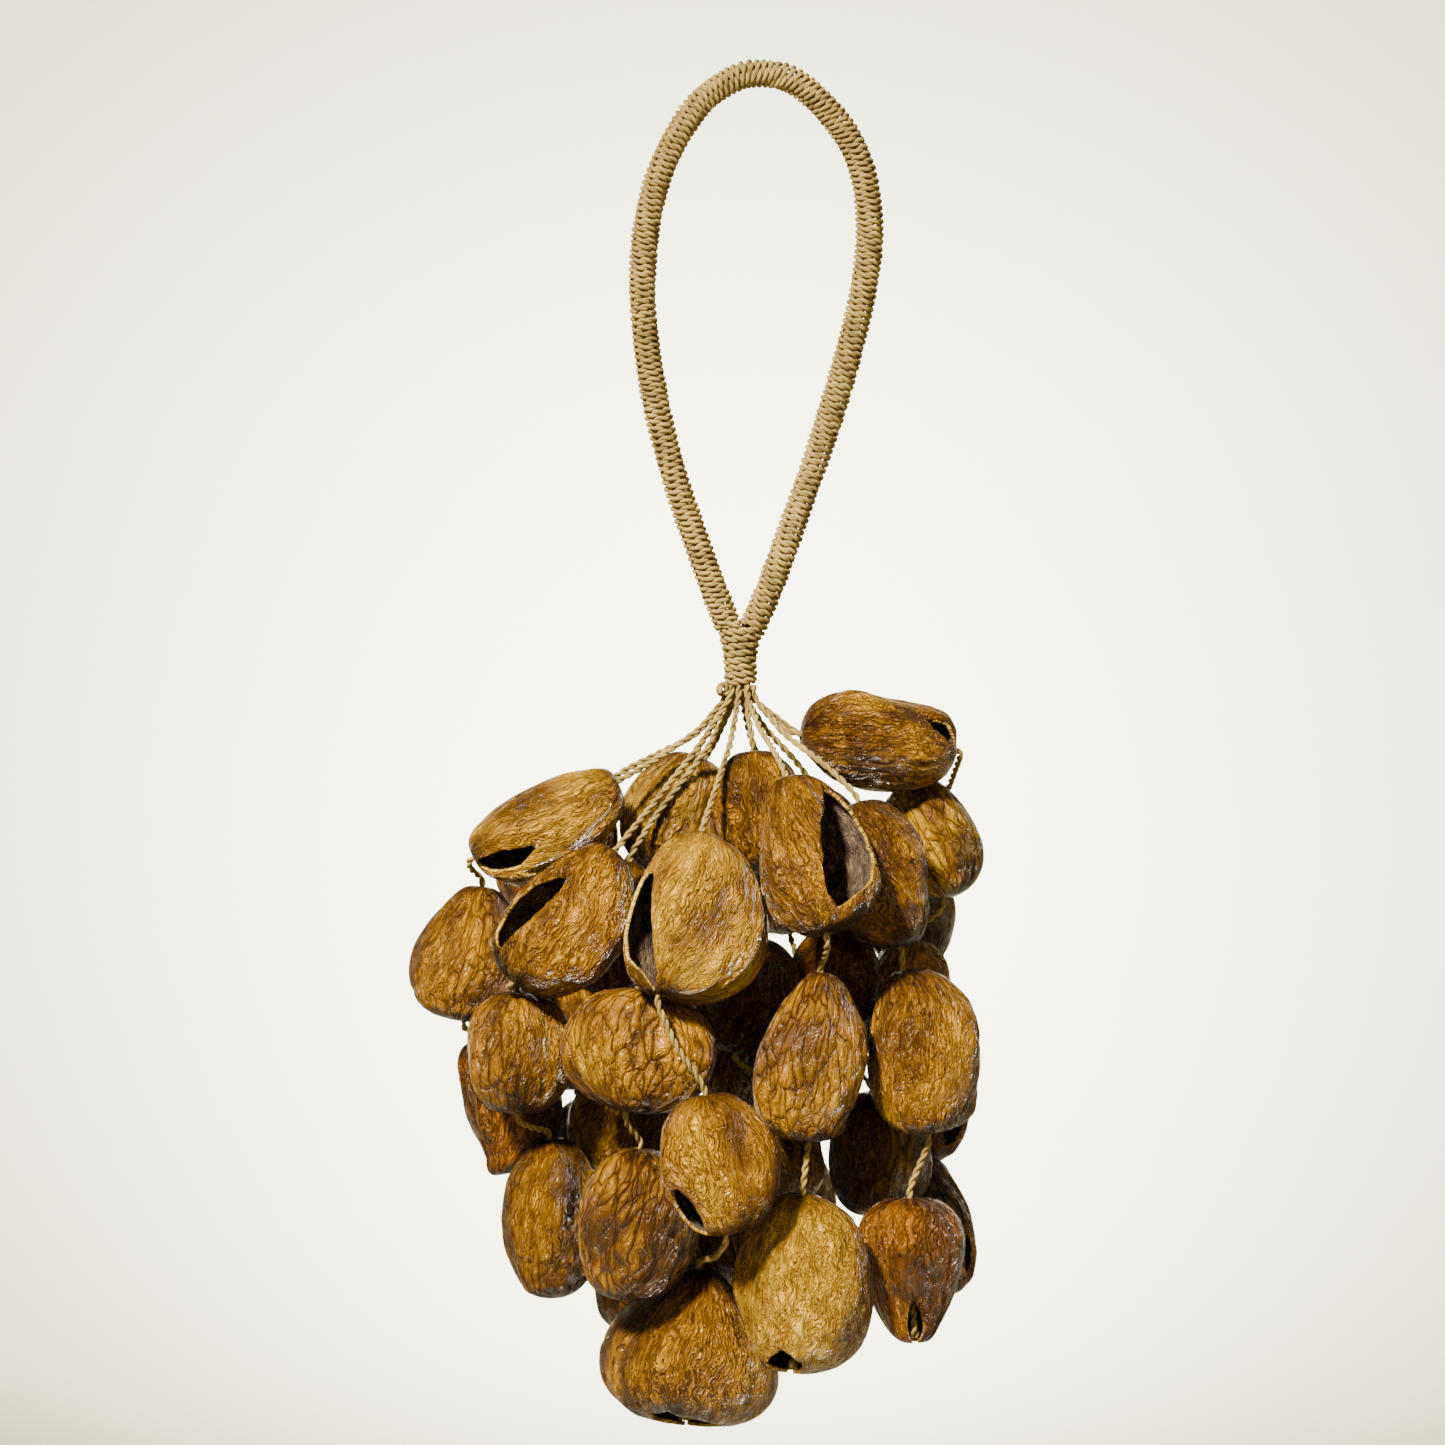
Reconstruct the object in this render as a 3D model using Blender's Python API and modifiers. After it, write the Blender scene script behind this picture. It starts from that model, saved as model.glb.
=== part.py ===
"""Seed pod rattle: hollow seed shells threaded on twines that hang from a wrapped loop handle.

Metres, +Z up, +X to the right and +Y away from the front. The origin is the hang point,
which is the inside of the top of the loop.
"""

import math
from collections import namedtuple

import bmesh
import bpy
import numpy as np
from mathutils import Euler, Matrix, Vector

MM = 0.001

# Twine and the gap that neighbouring pieces keep
TWINE = 2.1 * MM
FIT = 0.3 * MM

# Loop handle: a bundle of twines doubled over and wrapped with twine
LOOP_WIDTH = 70.0 * MM
LOOP_DROP = 172.0 * MM
LOOP_SIDEWAYS = 1.0 * MM
CORE_DIAMETER = 3.9 * MM
WRAP_TURNS_PER_RIDGE = 4
WRAP_VALLEY = 0.5 * MM
FOOT_DIAMETER = 7.0 * MM
FOOT_LENGTH = 9.0 * MM

# Collar: the wrap that binds the two arms of the loop above the strands
COLLAR_TURNS = 8
COLLAR_DIAMETER = 10.6 * MM
COLLAR_TOP_DIAMETER = 13.0 * MM
COLLAR_SIDEWAYS = -4.0 * MM
COLLAR_BELOW_ARMS = 1.0 * MM
NECK_CORE_DIAMETER = 3.2 * MM
COLLAR_WAIST = 0.4
CORE_SEGMENTS = 22

# Seed shells
SHELL_WALL = 1.2 * MM
SHELL_SIZE = 1.0
SHELL_GAP = 1.2 * MM
THREAD_CLEARANCE = 0.35 * MM
KNOT_DIAMETER = 4.4 * MM
SEGMENTS = 8
BANDS = 5

# Strands: ten leave the collar in an outer ring and four inside it
OUTER_STRANDS = 10
INNER_STRANDS = 4

# The loop's centre line from its left foot over the top to its right foot, in shares of
# LOOP_WIDTH to the right and of LOOP_DROP below the top
LOOP_SHAPE = [
    (-0.123, 1.0), (-0.228, 0.886), (-0.352, 0.741), (-0.445, 0.595), (-0.497, 0.45),
    (-0.502, 0.34), (-0.465, 0.23), (-0.385, 0.139), (-0.252, 0.054), (-0.097, 0.009),
    (0.02, 0.0), (0.168, 0.014), (0.337, 0.076), (0.453, 0.154), (0.5, 0.258),
    (0.48, 0.376), (0.396, 0.522), (0.286, 0.668), (0.16, 0.814), (0.063, 0.923),
    (-0.019, 1.0),
]

# One seed shell: where its middle hangs from the collar's underside (mm across, behind and
# below), its length along the twine, width and thickness (mm), how far its top leans to the
# right and to the front and its roll about the twine (degrees), its sideways belly and its
# egg shape (shares), and its mouth: the first and last band, the turn from the front
# (degrees) and the number of segments
Pod = namedtuple("Pod", "across behind below length width thick right front roll belly egg mouth finish")
Strand = namedtuple("Strand", "ring turn swing pods")

STRANDS = {
    "01": Strand("outer", -5, None, [
        Pod(-17, -44, 68, 52, 44, 30, 15, -20, 10, 0.16, 0.05, (2, 4, 300, 1), "pale"),
        Pod(-11.5, -46, 139, 42, 40, 29, -8, 0, -10, 0.0, 0.0, (3, 4, 315, 1), "golden"),
        Pod(-14, -12, 199, 49, 53, 34, 5, 8, 0, 0.0, 0.3, (4, 4, 0, 2), "golden")]),
    "02": Strand("outer", 31, 26, [
        Pod(20, -40, 51, 50, 37, 28, -14, -18, 0, 0.08, 0.2, (1, 3, 45, 2), "golden"),
        Pod(21, -42, 111, 51, 38, 30, 4, 0, 15, 0.0, 0.18, (3, 4, 70, 1), "golden"),
        Pod(17, -36, 179, 54, 43, 31, 3, 4, 0, 0.05, 0.1, (3, 4, 330, 1), "pale")]),
    "03": Strand("outer", 67, 47, [
        Pod(40, -26, 57, 46, 34, 27, -16, -10, 20, 0.0, 0.1, (2, 3, 160, 1), "golden"),
        Pod(52, -26, 110, 50, 39, 30, -9, 0, -10, 0.1, 0.1, (2, 3, 120, 1), "golden"),
        Pod(50, -28, 176, 44, 34, 26, -2, 0, 0, 0.0, -0.25, (3, 4, 0, 1), "red")]),
    "04": Strand("outer", 103, 118, [
        Pod(42, 3, 17, 49, 33, 28, -84, 10, 0, 0.05, 0.05, (3, 3, 70, 1), "golden"),
        Pod(54, 30, 72, 38, 32, 26, -4, -14, 30, 0.0, 0.1, (1, 2, 170, 1), "dark"),
        Pod(56, 20, 130, 36, 31, 26, 6, 4, -20, 0.0, 0.1, (2, 3, 80, 1), "red")]),
    "05": Strand("outer", 139, None, [
        Pod(56, 13, 48, 38, 32, 27, -14, -10, 0, 0.0, 0.1, (2, 3, 200, 1), "pale"),
        Pod(48, 12, 98, 40, 34, 28, 8, 0, 40, 0.1, 0.0, (1, 3, 150, 1), "golden"),
        Pod(57, 12, 166, 44, 34, 27, -6, 0, 0, 0.0, 0.1, (2, 3, 70, 1), "red")]),
    "06": Strand("outer", 175, 165, [
        Pod(14, 34, 56, 44, 36, 28, -8, 16, 180, 0.1, 0.1, (1, 3, 40, 1), "golden"),
        Pod(16, 36, 108, 46, 38, 29, 4, 0, 165, 0.0, 0.15, (3, 4, 0, 1), "pale"),
        Pod(12, 30, 164, 50, 40, 30, -4, -4, 190, 0.0, 0.1, (2, 3, 60, 1), "golden")]),
    "07": Strand("outer", 211, 244, [
        Pod(-50, 26, 55, 44, 36, 29, 20, 16, 200, 0.1, 0.1, (2, 3, 30, 1), "red"),
        Pod(-52, 24, 104, 44, 38, 28, -4, 0, 160, 0.0, 0.2, (1, 2, 330, 1), "golden"),
        Pod(-44, 26, 152, 46, 36, 28, -8, 0, 180, 0.0, 0.0, (3, 4, 20, 1), "dark")]),
    "08": Strand("outer", 283, 258, [
        Pod(-59, -14, 41, 50, 31, 27, 62, 0, 0, 0.05, 0.1, (3, 4, 20, 1), "pale"),
        Pod(-82, -8, 83, 42, 38, 30, 8, 0, 0, 0.0, 0.3, (2, 3, 200, 1), "golden"),
        Pod(-75, -4, 131, 42, 33, 27, -10, 0, 0, 0.18, 0.0, (1, 2, 240, 1), "red")]),
    "09": Strand("inner", 315, None, [
        Pod(-40, -10, 73, 42, 34, 27, 15, 0, 0, 0.1, 0.1, (1, 3, 310, 1), "golden"),
        Pod(-35, -34, 111, 37, 47, 30, 12, 0, 0, 0.0, 0.0, (2, 3, 180, 1), "golden"),
        Pod(-32, -32, 161, 46, 42, 30, 5, 0, -10, 0.0, 0.0, (2, 3, 150, 1), "golden")]),
    "10": Strand("outer", 319, 312, [
        Pod(-54, -30, 68, 50, 36, 28, 38, -10, 0, 0.08, 0.1, (2, 3, 300, 1), "golden"),
        Pod(-62, -26, 110, 37, 36, 31, 0, 0, 0, 0.0, 0.0, (2, 3, 180, 1), "golden"),
        Pod(-57, -12, 161, 49, 33, 26, -3, 4, 10, 0.0, 0.1, (1, 2, 220, 1), "golden")]),
    "11": Strand("inner", 45, None, [
        Pod(5, -10, 38, 38, 31, 27, -5, -8, 30, 0.0, 0.1, (2, 3, 100, 1), "golden"),
        Pod(6, -18, 93, 36, 34, 28, 10, 0, 0, 0.0, 0.0, (1, 2, 200, 1), "dark"),
        Pod(18, -14, 140, 36, 34, 27, -6, 0, 60, 0.0, 0.1, (2, 3, 160, 1), "dark")]),
    "12": Strand("inner", 135, None, [
        Pod(30, 14, 50, 40, 33, 27, -14, 6, 90, 0.0, 0.1, (1, 2, 90, 1), "dark"),
        Pod(34, -2, 90, 36, 32, 27, 4, 0, 0, 0.0, 0.0, (2, 3, 180, 1), "red"),
        Pod(37, -8, 144, 38, 34, 28, 0, 0, 20, 0.1, 0.1, (2, 3, 210, 1), "dark")]),
    "13": Strand("inner", 225, None, [
        Pod(-30, 18, 58, 40, 34, 28, 14, 10, 120, 0.0, 0.1, (2, 3, 300, 1), "golden"),
        Pod(-34, 4, 134, 38, 34, 28, 0, 0, 180, 0.1, 0.1, (1, 2, 20, 1), "dark"),
        Pod(-30, 6, 186, 38, 34, 28, -6, 0, 150, 0.0, 0.1, (2, 3, 40, 1), "red")]),
    "14": Strand("outer", 247, None, [
        Pod(-23, -2, 36, 38, 35, 28, 20, 0, 0, 0.0, 0.1, (1, 2, 150, 1), "pale"),
        Pod(-2, 6, 111, 38, 34, 28, -10, 0, 40, 0.0, 0.0, (2, 3, 120, 1), "dark"),
        Pod(-2, 0, 166, 38, 34, 28, 4, 0, 10, 0.0, 0.1, (1, 2, 230, 1), "dark")]),
}

FINISHES = {
    "golden": ((0.36, 0.17, 0.04), 0.32),
    "pale": ((0.46, 0.27, 0.10), 0.38),
    "red": ((0.20, 0.07, 0.025), 0.32),
    "dark": ((0.10, 0.05, 0.022), 0.36),
    "twine": ((0.47, 0.34, 0.16), 0.9),
    "core": ((0.40, 0.28, 0.13), 0.95),
}

PLACES = ("top", "middle", "bottom")

# Values that follow from the sizes above
WRAP_DIAMETER = CORE_DIAMETER + 2 * TWINE + 2 * FIT / 2
COLLAR_HEIGHT = COLLAR_TURNS * TWINE * 1.05
CROWN = Vector((LOOP_SIDEWAYS, 0, WRAP_DIAMETER / 2))
COLLAR_TOP = Vector((COLLAR_SIDEWAYS, 0, CROWN.z - LOOP_DROP - COLLAR_BELOW_ARMS))
COLLAR_UNDERSIDE = COLLAR_TOP - Vector((0, 0, COLLAR_HEIGHT))
STRANDS_FROM = COLLAR_UNDERSIDE - Vector((0, 0, FIT))
HOLE_RADIUS = TWINE / 2 + THREAD_CLEARANCE + 0.6 * SHELL_WALL
LEAD = 2.4 * MM
STRAIGHT = math.cos(math.radians(42))


def clear_scene():
    for thing in list(bpy.data.objects):
        bpy.data.objects.remove(thing, do_unlink=True)


def new_collection(name):
    collection = bpy.data.collections.new(name)
    bpy.context.scene.collection.children.link(collection)
    return collection


def finish_material(name):
    if name in bpy.data.materials:
        return bpy.data.materials[name]
    colour, roughness = FINISHES[name]
    material = bpy.data.materials.new(name)
    material.use_nodes = True
    shader = material.node_tree.nodes["Principled BSDF"]
    shader.inputs["Base Color"].default_value = (*colour, 1)
    shader.inputs["Roughness"].default_value = roughness
    material.diffuse_color = (*colour, 1)
    return material


def smooth_line(points, count):
    """A smooth curve through the points, read at evenly spaced places along it."""
    points = np.array([tuple(p) for p in points])
    ends = np.vstack([2 * points[0] - points[1], points, 2 * points[-1] - points[-2]])
    dense = []
    for before, start, end, after in zip(ends, ends[1:], ends[2:], ends[3:]):
        for t in np.linspace(0, 1, 24, endpoint=False):
            dense.append(0.5 * (2 * start + (end - before) * t
                                + (2 * before - 5 * start + 4 * end - after) * t**2
                                + (3 * start - before - 3 * end + after) * t**3))
    dense = np.array(dense + [points[-1]])
    steps = np.linalg.norm(np.diff(dense, axis=0), axis=1)
    travelled = np.concatenate([[0], np.cumsum(steps)])
    wanted = np.linspace(0, travelled[-1], count)
    return [Vector([np.interp(w, travelled, dense[:, k]) for k in range(3)]) for w in wanted]


def line_length(points):
    return sum((b - a).length for a, b in zip(points, points[1:]))


def tube(name, points, radius, shares, resolution, collection, finish):
    """A curve object with a round section whose radius is a share of the given one at each point."""
    curve = bpy.data.curves.new(name, "CURVE")
    curve.dimensions = "3D"
    curve.bevel_depth = radius
    curve.bevel_resolution = resolution
    curve.use_fill_caps = True
    spline = curve.splines.new("POLY")
    spline.points.add(len(points) - 1)
    for place, point, share in zip(spline.points, points, shares):
        place.co = (*point, 1)
        place.radius = share
    curve.materials.append(finish_material(finish))
    thing = bpy.data.objects.new(name, curve)
    collection.objects.link(thing)
    return thing


def meshed(thing):
    """The curve object as a mesh object with its caps welded, so that it can be cut."""
    bpy.context.view_layer.update()
    mesh = bpy.data.meshes.new_from_object(thing.evaluated_get(bpy.context.evaluated_depsgraph_get()))
    bm = bmesh.new()
    bm.from_mesh(mesh)
    bmesh.ops.remove_doubles(bm, verts=bm.verts, dist=1e-6)
    bmesh.ops.recalc_face_normals(bm, faces=bm.faces)
    bm.to_mesh(mesh)
    bm.free()
    name, collection, place = thing.name, thing.users_collection[0], thing.matrix_world.copy()
    bpy.data.objects.remove(thing, do_unlink=True)
    cut = bpy.data.objects.new(name, mesh)
    cut.matrix_world = place
    collection.objects.link(cut)
    return cut


def loop_points():
    return [CROWN + Vector((x * LOOP_WIDTH, 0, -down * LOOP_DROP)) for x, down in LOOP_SHAPE]


def make_handle(collection, cutters):
    """The loop's ridged wrap, the core inside it and the core's two feet inside the collar."""
    arms = loop_points()
    length = line_length(smooth_line(arms, 200))
    ridges = round(length / (WRAP_TURNS_PER_RIDGE * TWINE))
    line = smooth_line(arms, 2 * ridges + 1)
    crest = WRAP_DIAMETER / 2
    shares = []
    for k in range(len(line)):
        from_end = min(k, len(line) - 1 - k) * length / (2 * ridges)
        fullness = min(1.0, from_end / FOOT_LENGTH)
        radius = FOOT_DIAMETER / 2 * (1 - fullness) + crest * fullness
        shares.append((radius - (0 if k % 2 else WRAP_VALLEY)) / crest)
    wrap = meshed(tube("handle_wrap", line, crest, shares, 1, collection, "twine"))

    inside = smooth_line(arms, CORE_SEGMENTS + 1)
    bore = [inside[0] * 2 - inside[1]] + inside + [inside[-1] * 2 - inside[-2]]
    cutter = tube("wrap_bore", bore, CORE_DIAMETER / 2 + FIT / 2, [1.0] * len(bore), 1, cutters, "core")
    cutter = meshed(cutter)
    cutter.hide_render = True
    cutter.display_type = "WIRE"
    cut = wrap.modifiers.new("Bore", "BOOLEAN")
    cut.object = cutter
    cut.solver = "EXACT"

    neck = NECK_CORE_DIAMETER / 2 + FIT / 2
    waist = COLLAR_TOP - Vector((0, 0, COLLAR_WAIST * COLLAR_HEIGHT))
    left = [COLLAR_UNDERSIDE - Vector((neck, 0, 0)), waist - Vector((neck, 0, 0))]
    right = [waist + Vector((neck, 0, 0)), COLLAR_UNDERSIDE + Vector((neck, 0, 0))]
    thin = NECK_CORE_DIAMETER / CORE_DIAMETER
    shares = [thin] * 3 + [1.0] * (len(inside) - 2) + [thin] * 3
    tube("handle_core", left + inside + right, CORE_DIAMETER / 2 - FIT / 2, shares, 1, collection, "core")


def make_collar(collection):
    """A turned sleeve whose outer side has one ridge for each turn of the wrap."""
    turn = COLLAR_HEIGHT / COLLAR_TURNS
    mesh = bpy.data.meshes.new("collar_wrap")
    bm = bmesh.new()
    profile = []
    for k in range(2 * COLLAR_TURNS + 1):
        share = min(1.0, k / 5)
        radius = COLLAR_TOP_DIAMETER / 2 * (1 - share) + COLLAR_DIAMETER / 2 * share
        profile.append((radius - (0 if k % 2 else WRAP_VALLEY), -k * turn / 2))
    neck = (NECK_CORE_DIAMETER + FIT / 2 + FIT) / math.cos(math.pi / 10)
    mouth = COLLAR_TOP_DIAMETER / 2 - 0.55 * TWINE
    profile += [(neck, -COLLAR_HEIGHT), (neck, -COLLAR_WAIST * COLLAR_HEIGHT), (mouth, 0)]
    corners = [bm.verts.new((radius, 0, z)) for radius, z in profile]
    for a, b in zip(corners, corners[1:] + corners[:1]):
        bm.edges.new((a, b))
    bm.to_mesh(mesh)
    bm.free()
    mesh.materials.append(finish_material("twine"))
    collar = bpy.data.objects.new("collar_wrap", mesh)
    collar.location = COLLAR_TOP
    collection.objects.link(collar)
    screw = collar.modifiers.new("Turn", "SCREW")
    screw.steps = screw.render_steps = 10
    screw.use_merge_vertices = True
    screw.merge_threshold = 1e-5


def pod_turned(pod):
    turned = Euler((math.radians(pod.front), 0, 0)).to_matrix()
    leaned = Euler((0, math.radians(pod.right), 0)).to_matrix()
    rolled = Euler((0, 0, math.radians(pod.roll))).to_matrix()
    return leaned @ turned @ rolled


def pod_point(pod, polar, around):
    """A place on the shell's outer skin: polar runs from 0 at its top hole to 1 at its bottom hole."""
    angle = math.pi * polar
    fullness = max(0.0, math.sin(angle)) ** 0.8
    along = math.cos(angle)
    swell = 1 - pod.egg * along
    ripple = 1 + 0.06 * math.sin(2 * around + pod.roll) + 0.045 * math.sin(3 * around + 5 * polar + pod.across)
    wide = HOLE_RADIUS + (pod.width * MM * SHELL_SIZE / 2 - HOLE_RADIUS) * fullness * swell * ripple
    deep = HOLE_RADIUS + (pod.thick * MM * SHELL_SIZE / 2 - HOLE_RADIUS) * fullness * swell * ripple
    side = pod.belly * pod.width * MM * SHELL_SIZE * fullness
    return Vector((side + wide * math.sin(around), -deep * math.cos(around),
                   pod.length * MM * SHELL_SIZE / 2 * along))


def sphere_place(point):
    """The polar share and the turn from the front of a point on the unit sphere."""
    first = math.pi / (BANDS + 2)
    polar = (math.acos(max(-1.0, min(1.0, point.z))) - first) / (math.pi - 2 * first)
    return min(1.0, max(0.0, polar)), math.atan2(point.x, -point.y)


def in_mouth(pod, centre):
    polar, around = sphere_place(centre.normalized())
    band = min(BANDS - 1, int(polar * BANDS))
    first, last, turn, count = pod.mouth
    width = 360 / SEGMENTS
    away = (math.degrees(around) - turn + 180) % 360 - 180
    return first <= band <= last and abs(away) < width * count / 2


def pod_mesh(name, pod):
    bm = bmesh.new()
    bmesh.ops.create_uvsphere(bm, u_segments=SEGMENTS, v_segments=BANDS + 2, radius=1)
    poles = [v for v in bm.verts if abs(v.co.z) > 0.999]
    bmesh.ops.delete(bm, geom=poles, context="VERTS")
    mouth = [f for f in bm.faces if in_mouth(pod, f.calc_center_median())]
    bmesh.ops.delete(bm, geom=mouth, context="FACES")
    for v in bm.verts:
        v.co = pod_point(pod, *sphere_place(v.co))
    bmesh.ops.recalc_face_normals(bm, faces=bm.faces)
    mesh = bpy.data.meshes.new(name)
    bm.to_mesh(mesh)
    bm.free()
    mesh.materials.append(finish_material(pod.finish))
    return mesh


def make_pod(name, pod, centre, collection):
    shell = bpy.data.objects.new(name, pod_mesh(name, pod))
    shell.matrix_world = Matrix.Translation(centre) @ pod_turned(pod).to_4x4()
    collection.objects.link(shell)
    wall = shell.modifiers.new("Wall", "SOLIDIFY")
    wall.thickness = SHELL_WALL
    wall.offset = -1
    return shell


def make_strand(key, centres, collection):
    """One twine with its shells, parented to a pivot at the collar where the strand can swing."""
    strand = STRANDS[key]
    route = twine_route(strand, centres)
    pieces = [tube(f"twine_{key}", [point for point, _, _ in route], TWINE / 2,
                   [share for _, share, _ in route], 2, collection, "twine")]
    for place, pod, centre in zip(PLACES, strand.pods, centres):
        pieces.append(make_pod(f"shell_{key}_{place}", pod, centre, collection))
    if strand.swing is None:
        return
    pivot = bpy.data.objects.new(f"strand_{key}_pivot", None)
    turn = math.radians(strand.swing)
    pivot.location = exit_point(strand) + Vector((math.sin(turn), -math.cos(turn), 0)) * TWINE / 2
    pivot.rotation_euler = (0, 0, turn)
    pivot.empty_display_size = 5 * TWINE
    collection.objects.link(pivot)
    bpy.context.view_layer.update()
    for piece in pieces:
        piece.parent = pivot
        piece.matrix_parent_inverse = pivot.matrix_world.inverted()


def exit_point(strand):
    """Where a strand's twine leaves the collar, in a ring or in the ring inside it."""
    inner = (TWINE + FIT) / 2 / math.sin(math.pi / INNER_STRANDS)
    outer = max((TWINE + FIT) / 2 / math.sin(math.pi / OUTER_STRANDS), inner + TWINE + FIT)
    radius = outer if strand.ring == "outer" else inner
    turn = math.radians(strand.turn)
    return STRANDS_FROM + Vector((radius * math.sin(turn), -radius * math.cos(turn), 0))


def bend(start, start_way, end, end_way, count):
    """Points inside a smooth bend that leaves start one way and reaches end another way."""
    leave, arrive = 0.8 * (end - start).length, 0.4 * (end - start).length
    points = []
    for k in range(1, count + 1):
        t = k / (count + 1)
        points.append((2 * t**3 - 3 * t**2 + 1) * start + (3 * t**2 - 2 * t**3) * end
                      + (t**3 - 2 * t**2 + t) * leave * start_way + (t**3 - t**2) * arrive * end_way)
    return points


def twine_route(strand, centres):
    """A strand's centre line as (point, radius share, whether the stretch after it runs free)."""
    turn = math.radians(strand.turn)
    below = exit_point(strand) - Vector((0, 0, TWINE))
    route = [(exit_point(strand), 1.0, True), (below, 1.0, True)]
    way, joins = Vector((0.4 * math.sin(turn), -0.4 * math.cos(turn), -1)).normalized(), 2
    half = 0.8 * TWINE
    for place, (pod, centre) in enumerate(zip(strand.pods, centres)):
        axis = pod_turned(pod) @ Vector((0, 0, 1))
        half_length = pod.length * MM * SHELL_SIZE / 2
        entry = centre + axis * (half_length + LEAD)
        straight = (entry - route[-1][0]).normalized()
        if place and min(straight.dot(way), straight.dot(-axis)) > STRAIGHT:
            joins = 0
        route += [(point, 1.0, True) for point in bend(route[-1][0], way, entry, -axis, joins)]
        route.append((entry, 1.0, False))
        seat = centre - axis * (half_length - SHELL_WALL - FIT - half)
        route += [(seat + axis * half, 1.0, False), (seat, KNOT_DIAMETER / TWINE, False)]
        route.append((seat - axis * half, 1.0, False))
        if place < 2:
            route.append((centre - axis * (half_length + LEAD), 1.0, True))
        way, joins = -axis, 1
    return route


def free_places(strand, centres):
    """Places along the stretches of a twine that run outside its own shells."""
    route = twine_route(strand, centres)
    return [a[0].lerp(b[0], t) for a, b in zip(route, route[1:]) if a[2] for t in (0, 0.2, 0.4, 0.6, 0.8)]


def sphere_directions(count):
    """Directions spread evenly over a sphere."""
    k = np.arange(count) + 0.5
    polar = np.arccos(1 - 2 * k / count)
    around = math.pi * (1 + 5**0.5) * k
    return np.stack([np.cos(around) * np.sin(polar), np.sin(around) * np.sin(polar), np.cos(polar)], axis=1)


def hung_centres():
    """The middle of every shell, pushed apart until shells clear each other and every twine."""
    pods = [(key, pod) for key, strand in STRANDS.items() for pod in strand.pods]
    owner = np.array([key for key, _ in pods])
    ways = sphere_directions(240)
    ways = np.vstack([ways, -ways])
    high, low = [], []
    for _, pod in pods:
        turned = pod_turned(pod)
        skin = [turned @ pod_point(pod, band / BANDS, 2 * math.pi * k / SEGMENTS)
                for band in range(BANDS + 1) for k in range(SEGMENTS)]
        reach = np.array([tuple(p) for p in skin]) @ ways.T
        high.append(reach.max(axis=0))
        low.append(reach.min(axis=0))
    high, low = np.array(high), np.array(low)
    aims = np.array([tuple(STRANDS_FROM + Vector((pod.across, pod.behind, -pod.below)) * MM * SHELL_SIZE)
                     for _, pod in pods])
    centres = aims.copy()
    freedom = np.array([0.6, 1.0, 0.5])
    rounds = 420
    for turn in range(rounds):
        if turn < rounds * 0.6:
            centres += 0.04 * (aims - centres)
        along = centres @ ways.T
        gap = (along + low)[None, :, :] - (along + high)[:, None, :]
        best = gap.argmax(axis=2)
        widest = np.take_along_axis(gap, best[:, :, None], axis=2)[:, :, 0]
        np.fill_diagonal(widest, 1.0)
        near = np.maximum(0, SHELL_GAP - widest)
        moves = (near[:, :, None] * ways[best]).sum(axis=0) * 0.5
        line = [(key, p) for at, key in enumerate(STRANDS)
                for p in free_places(STRANDS[key], [Vector(c) for c in centres[3 * at:3 * at + 3]])]
        names = np.array([key for key, _ in line])
        spots = np.array([tuple(p) for _, p in line]) @ ways.T
        past = (along + low)[None, :, :] - spots[:, None, :] - TWINE / 2
        best = past.argmax(axis=2)
        widest = np.take_along_axis(past, best[:, :, None], axis=2)[:, :, 0]
        widest[names[:, None] == owner[None, :]] = 1.0
        near = np.maximum(0, SHELL_GAP / 2 - widest)
        pushed = near[:, :, None] * ways[best]
        strongest = near.argmax(axis=0)
        moves += pushed[strongest, np.arange(len(pods))]
        centres += moves * freedom
    return {key: [Vector(c) for c in centres[3 * at:3 * at + 3]] for at, key in enumerate(STRANDS)}


def make_tie_off(collection):
    """The end of the wrap, doubled back in a small hitch at the collar's lower left."""
    size = TWINE
    beside = COLLAR_DIAMETER / 2 + 0.7 * size
    middle = COLLAR_UNDERSIDE + Vector((-beside, -1.5 * size, -0.2 * size))
    points = []
    for k in range(9):
        turn = math.radians(-60 + 38 * k)
        points.append(middle + Vector((size * math.cos(turn) * 0.8, -0.35 * MM * k + size * math.cos(turn) * 0.6,
                                       size * math.sin(turn))))
    tube("tie_off_knot", points, TWINE / 2 * 0.8, [1.0] * len(points), 1, collection, "twine")


def main():
    clear_scene()
    rattle = new_collection("seed_pod_rattle")
    cutters = new_collection("cutters")
    make_handle(rattle, cutters)
    make_collar(rattle)
    make_tie_off(rattle)
    for key, centres in hung_centres().items():
        make_strand(key, centres, rattle)


main()
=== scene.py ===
"""The seed pod rattle as it looks: wrinkled seed shells knotted on two-ply twine.

The twines hang from a bound collar and a wrapped loop handle. Metres, +Z up, +X to the right and
+Y away from the front, with the origin at the hang point.
"""

import math
from collections import namedtuple

import bpy
import numpy as np
from mathutils import Euler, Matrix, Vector, noise


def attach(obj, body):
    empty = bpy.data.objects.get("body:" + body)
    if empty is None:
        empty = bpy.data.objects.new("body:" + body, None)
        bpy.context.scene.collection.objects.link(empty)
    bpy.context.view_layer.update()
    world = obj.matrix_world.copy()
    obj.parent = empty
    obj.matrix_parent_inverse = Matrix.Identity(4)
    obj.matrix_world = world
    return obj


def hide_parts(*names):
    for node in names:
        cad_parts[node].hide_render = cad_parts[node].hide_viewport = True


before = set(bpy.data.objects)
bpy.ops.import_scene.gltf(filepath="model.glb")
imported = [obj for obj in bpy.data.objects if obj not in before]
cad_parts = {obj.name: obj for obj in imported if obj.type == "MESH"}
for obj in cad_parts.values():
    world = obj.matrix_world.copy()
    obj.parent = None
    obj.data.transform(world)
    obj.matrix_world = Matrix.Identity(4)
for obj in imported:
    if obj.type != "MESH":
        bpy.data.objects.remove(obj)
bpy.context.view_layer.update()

MM = 0.001

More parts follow.
